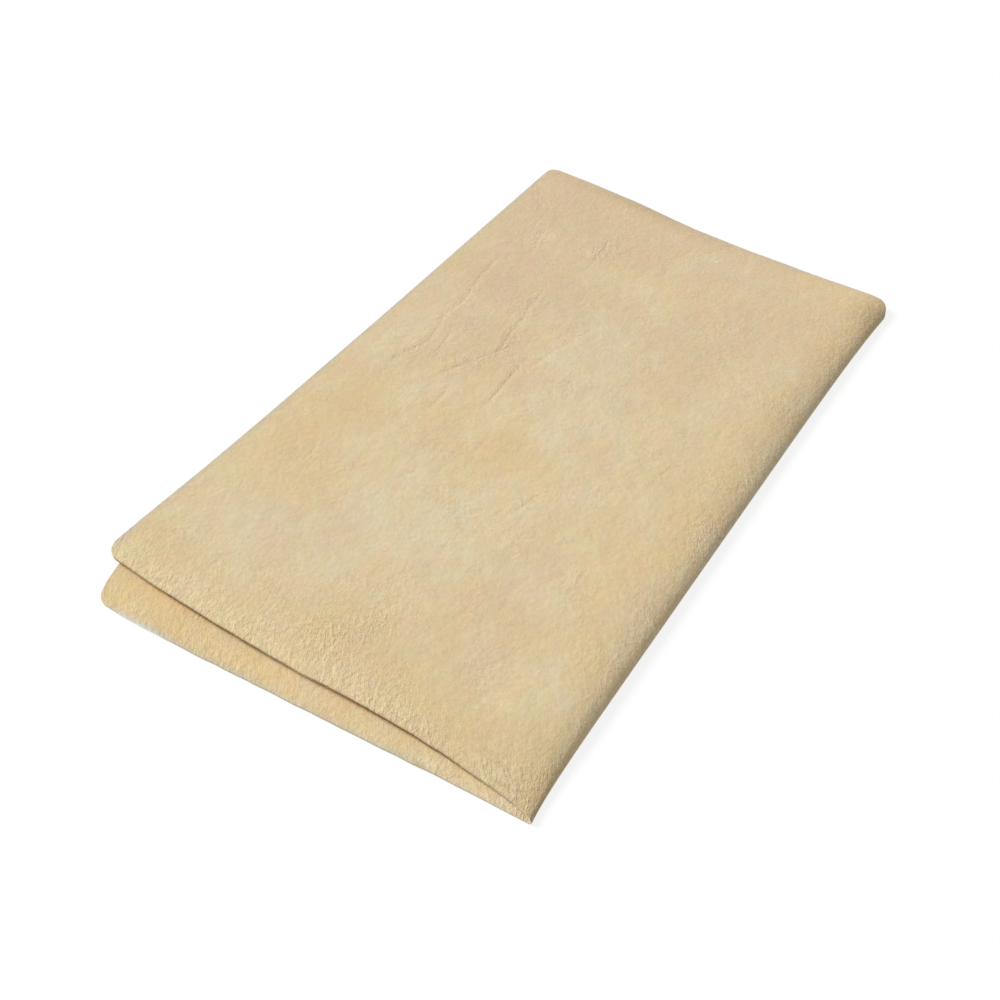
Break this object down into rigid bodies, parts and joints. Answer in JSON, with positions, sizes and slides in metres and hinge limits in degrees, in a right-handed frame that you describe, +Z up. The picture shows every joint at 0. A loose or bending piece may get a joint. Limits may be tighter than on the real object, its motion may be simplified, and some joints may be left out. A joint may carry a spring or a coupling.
{
  "type": "chamois leather",
  "caption": "Soft cream chamois leather for drying and polishing, a rough rectangular hide folded once, whose upper leaf opens about the rounded fold until the hide lies flat.",
  "frame": {"origin": "middle of the folded hide's footprint, on the surface that it lies on", "axes": "+X from the open edges towards the fold, +Y along the fold away from the viewer, +Z up"},
  "size_m": [0.2504, 0.4238, 0.007],
  "materials": {
    "lower_leather": "soft suede nap of oil-tanned chamois, warmer and smoother than the upper leaf",
    "upper_leather": "soft suede nap of oil-tanned chamois, cloudy cream and beige with fine creases"
  },
  "bodies": {
    "lower_leaf": {"lower_leaf": "lower_leather"},
    "fold_spine": {"fold_spine": "upper_leather"},
    "upper_leaf": {"upper_leaf": "upper_leather"}
  },
  "joints": [
    {"name": "lower_crease", "type": "hinge", "parent": "lower_leaf", "child": "fold_spine", "pos_m": [0.12416, 0, 0.00103], "axis": [0, 1, 0], "range_deg": [0, 90]},
    {"name": "upper_crease", "type": "hinge", "parent": "fold_spine", "child": "upper_leaf", "pos_m": [0.12416, 0, 0.00597], "axis": [0, 1, 0], "range_deg": [0, 90]}
  ],
  "couplings": [
    {"joint": "upper_crease", "follows": "lower_crease", "ratio": 1}
  ]
}
